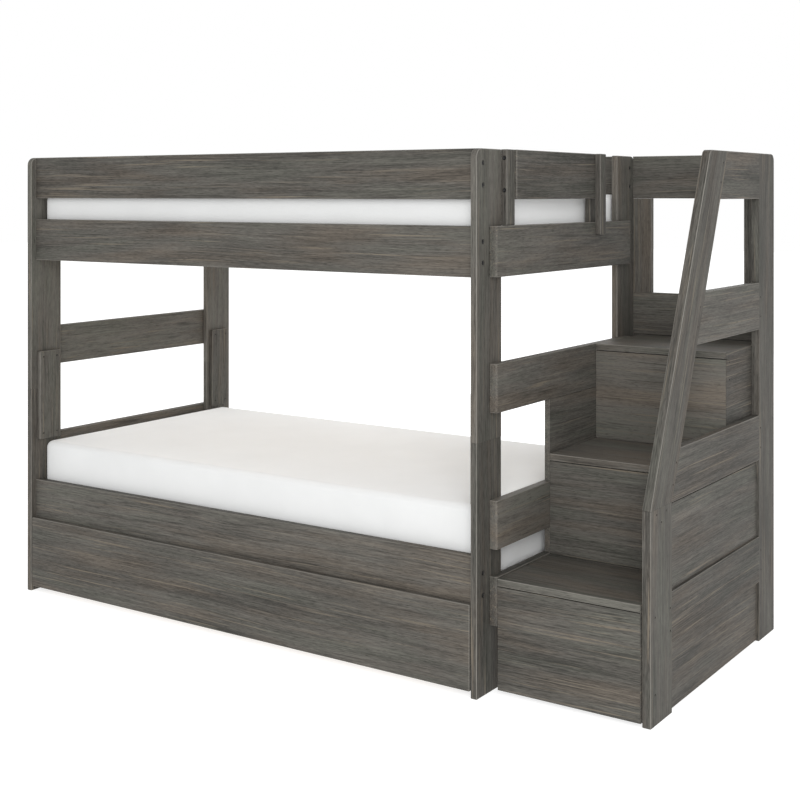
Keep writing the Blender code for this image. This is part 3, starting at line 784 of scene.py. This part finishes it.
def ring_surface(shape, profile, centre, slot, segments=48):
    """An open profile (along X, radius) turned about the X axis through centre."""
    angle = np.linspace(0, 2 * np.pi, segments, endpoint=False)
    points = np.stack([np.broadcast_to(profile[:, :1], (len(profile), segments)),
                       -profile[:, 1:] * np.sin(angle), profile[:, 1:] * np.cos(angle)], 2)
    points = points.reshape(-1, 3) + centre
    faces = strip_faces(len(profile), segments)
    shape.add(points, faces[:, ::-1].tolist(), [True] * len(faces), slot=slot)


# ------------------------------------------------------------------- stairs

STEP_Y = (0.0757, 0.4150, 0.7550)
TREAD_TOPS = (0.350, 0.675, 1.000)
SLANT_FOOT, SLANT_RISE = 0.616, 2.255  # where the slanted board starts, and its rise for each metre back
SLANT_FRONT, SLANT_WIDE = 0.084, 0.1515  # its foot's place behind the posts' front edge, and its width there
FRAME_CORNER = 0.024  # rounded top corner of the slanted board, and of the tall post behind it
SCREW_R = 0.0026
# Treads are painted paler: painted light on tread tops in the stairs' shade.
TREAD_PAINTED_LIGHT = (1.4, 3.0, 2.6)
RISER_TONE = 0.3
FOOT_TALL, FOOT_DEEP = 0.0026, 0.006  # the rebate at the foot of a board that stands behind a tread
TOP_TALL, TOP_DEEP = 0.007, 0.005  # the rebate along the top of the side panel, under the third rail
SCREWS = {  # (back from the posts' front edge, height) of the screw heads in the side frame
    "side_post_front": [(0.125, 0.600), (0.194, 0.600), (0.160, 0.573), (0.114, 0.310), (0.224, 0.310),
                        (0.224, 0.243), (0.114, 0.090)],
    "side_slanted_board": [(0.244, 0.665), (0.269, 0.726), (0.438, 1.111), (0.461, 1.169), (0.633, 1.553),
                           (0.654, 1.616)],
    "side_post_rear": [(1.004, 1.166), (1.004, 1.100), (1.004, 0.722), (1.004, 0.655), (1.006, 0.307),
                       (1.006, 0.240), (1.132, 0.046), (1.132, 0.737)],
    "stair_outer_panel": [(0.783, 0.965), (0.783, 0.908)],
}


def step_profile(fronts, tops, low, rear):
    """Outline of the staircase's side: up each front, and back along each top."""
    return [(fronts[0], low), (rear, low), (rear, tops[2]), (fronts[2], tops[2]), (fronts[2], tops[1]),
            (fronts[1], tops[1]), (fronts[1], tops[0]), (fronts[0], tops[0])]


def rebated(node, foot, edge):
    """A board across the stairs. Up to just over the tread at its foot it stands further back."""
    low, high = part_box(node)
    shape = Shape()
    base = low.z if foot is None else foot + FOOT_TALL
    box_board(shape, (low.x, low.y, base), high, "XZ", edge=edge, along=(1, 0), tone=RISER_TONE)
    if foot is not None:
        # The set-back foot is coloured darker: painted shade in the rebate.
        box_board(shape, (low.x, low.y + FOOT_DEEP, low.z), (high.x, high.y, base + LAP), "XZ", edge=0.0004,
                  along=(1, 0), tone=-1.0)
    shape.finish("board_" + node, STAINED, nodes=[node])


def stairs():
    for number in (1, 2, 3):
        plank(f"tread_{number}", "XY", edge=[0.0024, BUTT, BUTT, BUTT], along=(1, 0),
              tone=TREAD_PAINTED_LIGHT[number - 1], wear=0.9)
        rebated(f"riser_{number}", TREAD_TOPS[number - 2] if number > 1 else None, BUTT)
    low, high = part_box("stair_outer_panel")
    skin = high.x - 0.0017
    fronts = [FRONT + y for y in STEP_Y]
    shape = Shape()
    inner = step_profile([y + 0.0183 for y in fronts], [z - 0.0223 for z in TREAD_TOPS], low.z, high.y)
    board(shape, "YZ", inner, (low.x, skin - 0.0001), edge=BUTT, along=(1, 0))
    profile = step_profile(fronts, TREAD_TOPS, low.z, high.y)
    slot_high, slot_low = TREAD_TOPS[2] - 0.022, TREAD_TOPS[2] - 0.0245
    profile[4:4] = [(fronts[2], slot_high), (fronts[2] + 0.006, slot_high), (fronts[2] + 0.006, slot_low),
                    (fronts[2], slot_low)]
    screws = [(FRONT + y, z) for y, z in SCREWS["stair_outer_panel"]]
    board(shape, "YZ", profile, (skin, high.x), edge=0.0005, along=(1, 0), tone=-0.35, wear=1.0,
          holes=[(y, z, SCREW_R, 0.0014, 1) for y, z in screws])
    shape.finish("stair_outer_panel_board", STAINED, nodes=["stair_outer_panel"])
    bolt_heads("stair_panel_screws", [(high.x, y, z) for y, z in screws], 0, 1, SCREW_R - 0.0002, 0.0008)
    bed_side_panel()


def bed_side_panel():
    low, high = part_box("stair_bed_side_panel")
    front, rear = low.y, high.y
    slot_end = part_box("end_rail_middle_right")[1].y + 0.0007
    clear = 0.0007
    rails = [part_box(f"end_rail_{name}_right") for name in ("middle", "low_a", "low_b")]
    points = [(front, low.z), (rear, low.z), (rear, high.z), (slot_end, high.z),
              (slot_end, rails[0][0].z - clear), (front, rails[0][0].z - clear)]
    for rail_low, rail_high in rails[1:]:
        points += [(front, rail_high.z + clear), (slot_end, rail_high.z + clear),
                   (slot_end, rail_low.z - clear), (front, rail_low.z - clear)]
    shape = Shape()
    board(shape, "YZ", points, (low.x, high.x), edge=0.001, along=(1, 0))
    shape.finish("stair_bed_side_panel_board", STAINED, nodes=["stair_bed_side_panel"])


def slant_back(z):
    """Y of the slanted board's rear edge at a height."""
    return FRONT + SLANT_FRONT + SLANT_WIDE + (z - SLANT_FOOT) / SLANT_RISE


def side_frame():
    """The outer side frame with its screw heads, all on its outer face."""
    low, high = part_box("side_post_front")
    span = (low.x, high.x)
    front, post_back = low.y, high.y
    lean = (TOP - SLANT_FOOT) / SLANT_RISE
    heads = []

    def pierced(places):
        heads.extend(places)
        return [(y, z, SCREW_R, 0.004, 1) for y, z in places]

    def framed(node, points, edges, radii=None, along=None, screws=()):
        shape = Shape()
        board(shape, "YZ", points, span, radii=radii, edge=edges, along=along, holes=pierced(screws),
              wear=0.9)
        shape.finish("board_" + node, STAINED, nodes=[node])

    framed("side_post_front", rectangle((front, 0.0), (post_back, high.z)), [EDGE, BUTT, BUTT, EDGE],
           along=(0, 1), screws=[(FRONT + y, z) for y, z in SCREWS["side_post_front"]])
    slant = [(front, SLANT_FOOT), (post_back, SLANT_FOOT), (post_back + lean, TOP), (front + lean, TOP)]
    small = BUTT + 0.0004
    framed("side_slanted_board", slant, [BUTT, 0.001, EDGE, EDGE], [small, small, small, FRAME_CORNER],
           (1, SLANT_RISE), [(FRONT + y, z) for y, z in SCREWS["side_slanted_board"]])
    low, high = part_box("side_post_rear")
    framed("side_post_rear", rectangle((low.y, low.z), (high.y, high.z)), [EDGE, EDGE, EDGE, 0.001],
           [small, EDGE, FRAME_CORNER, small], (0, 1), [(FRONT + y, z) for y, z in SCREWS["side_post_rear"]])
    end = low.y - SEAT
    for name in ("top", "second"):
        low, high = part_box("side_rail_" + name)
        foot, head = slant_back(low.z) + SEAT, slant_back(high.z) + SEAT
        rail = [(foot, low.z), (end, low.z), (end, high.z), (head, high.z)]
        framed("side_rail_" + name, rail, [EDGE, BUTT, EDGE, BUTT], along=(1, 0))
    low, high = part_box("side_rail_third")
    start, head = post_back + SEAT, slant_back(high.z) + SEAT
    rail = [(start, low.z), (end, low.z), (end, high.z), (head, high.z), (start, SLANT_FOOT)]
    framed("side_rail_third", rail, [EDGE, BUTT, EDGE, BUTT, BUTT], along=(1, 0))
    plank("side_rail_fourth", "YZ", edge=[EDGE, BUTT, EDGE, BUTT])
    low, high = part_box("side_panel")
    shape = Shape()
    box_board(shape, low, (high.x, high.y, high.z - TOP_TALL), "YZ", edge=0.001, along=(1, 0))
    # The recessed strip along the top is coloured darker: painted shade under the third rail.
    box_board(shape, (low.x, low.y, high.z - TOP_TALL - LAP), (high.x - TOP_DEEP, high.y, high.z), "YZ",
              edge=0.0004, along=(1, 0), tone=-1.5)
    shape.finish("board_side_panel", STAINED, nodes=["side_panel"])
    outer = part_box("side_post_front")[1].x
    bolt_heads("side_frame_screws", [(outer, y, z) for y, z in heads], 0, 1, SCREW_R - 0.0002, 0.0012)


def back_frame():
    rebated("back_panel", TREAD_TOPS[2], 0.0015)
    plank("back_stile_left", "XZ", along=(0, 1), edge=[BUTT, EDGE, BUTT, BUTT])
    plank("back_stile_right", "XZ", along=(0, 1), edge=[BUTT, BUTT, BUTT, EDGE])
    plank("back_rail_top", "XZ", edge=[EDGE, BUTT, EDGE, BUTT])


posts()
long_rails()
end_rails()
stair_guard()
slat_rolls()
mattresses()
trundle()
stairs()
side_frame()
back_frame()


# ------------------------------------------------------- floor, light, camera

def studio():
    scene = bpy.context.scene
    floor_mesh = bpy.data.meshes.new("floor")
    reach, level = 30.0, -0.0005
    corners = [(-reach, -reach, level), (reach, -reach, level), (reach, reach, level), (-reach, reach, level)]
    floor_mesh.from_pydata(corners, [], [(0, 1, 2, 3)])
    floor = bpy.data.objects.new("floor", floor_mesh)
    scene.collection.objects.link(floor)
    material, _, shader = node_tree("pale_floor")
    shader.inputs["Base Color"].default_value = (0.50, 0.50, 0.50, 1.0)
    shader.inputs["Roughness"].default_value = 0.9
    shader.inputs["Specular IOR Level"].default_value = 0.0
    shader.inputs["Emission Color"].default_value = (1.0, 1.0, 1.0, 1.0)
    shader.inputs["Emission Strength"].default_value = 0.74
    floor_mesh.materials.append(material)
    world = bpy.data.worlds.new("studio")
    world.use_nodes = True
    world.node_tree.nodes["Background"].inputs["Color"].default_value = (1.0, 1.0, 1.0, 1.0)
    world.node_tree.nodes["Background"].inputs["Strength"].default_value = 1.0
    scene.world = world
    lamp("key", (4.2, -5.6, 3.2), (0.2, 0.0, 0.8), 3.0, 190.0)
    lamp("low_fill", (3.4, -5.8, 1.1), (0.2, 0.0, 0.6), 2.0, 75.0)
    lamp("back", (-0.8, 7.0, 4.2), (0.0, 0.0, 0.6), 6.0, 200.0)
    scene.view_settings.view_transform = "Standard"
    scene.view_settings.look = "None"


def lamp(name, place, target, size, power):
    data = bpy.data.lights.new(name, "AREA")
    data.shape = "DISK"
    data.size = size
    data.energy = power
    obj = bpy.data.objects.new(name, data)
    bpy.context.scene.collection.objects.link(obj)
    obj.location = place
    away = np.subtract(place, target)
    flat = math.hypot(away[0], away[1])
    obj.rotation_euler = (math.atan2(flat, away[2]), 0.0, math.atan2(away[0], -away[1]))


def camera():
    data = bpy.data.cameras.new("camera")
    data.lens = 60.28
    data.sensor_width = 36.0
    data.shift_y = -0.2583
    obj = bpy.data.objects.new("camera", data)
    bpy.context.scene.collection.objects.link(obj)
    obj.location = (2.80855, -4.0222, 1.5179)
    obj.rotation_euler = (math.pi / 2, 0.0, math.radians(34.06))
    bpy.context.scene.camera = obj


studio()
camera()
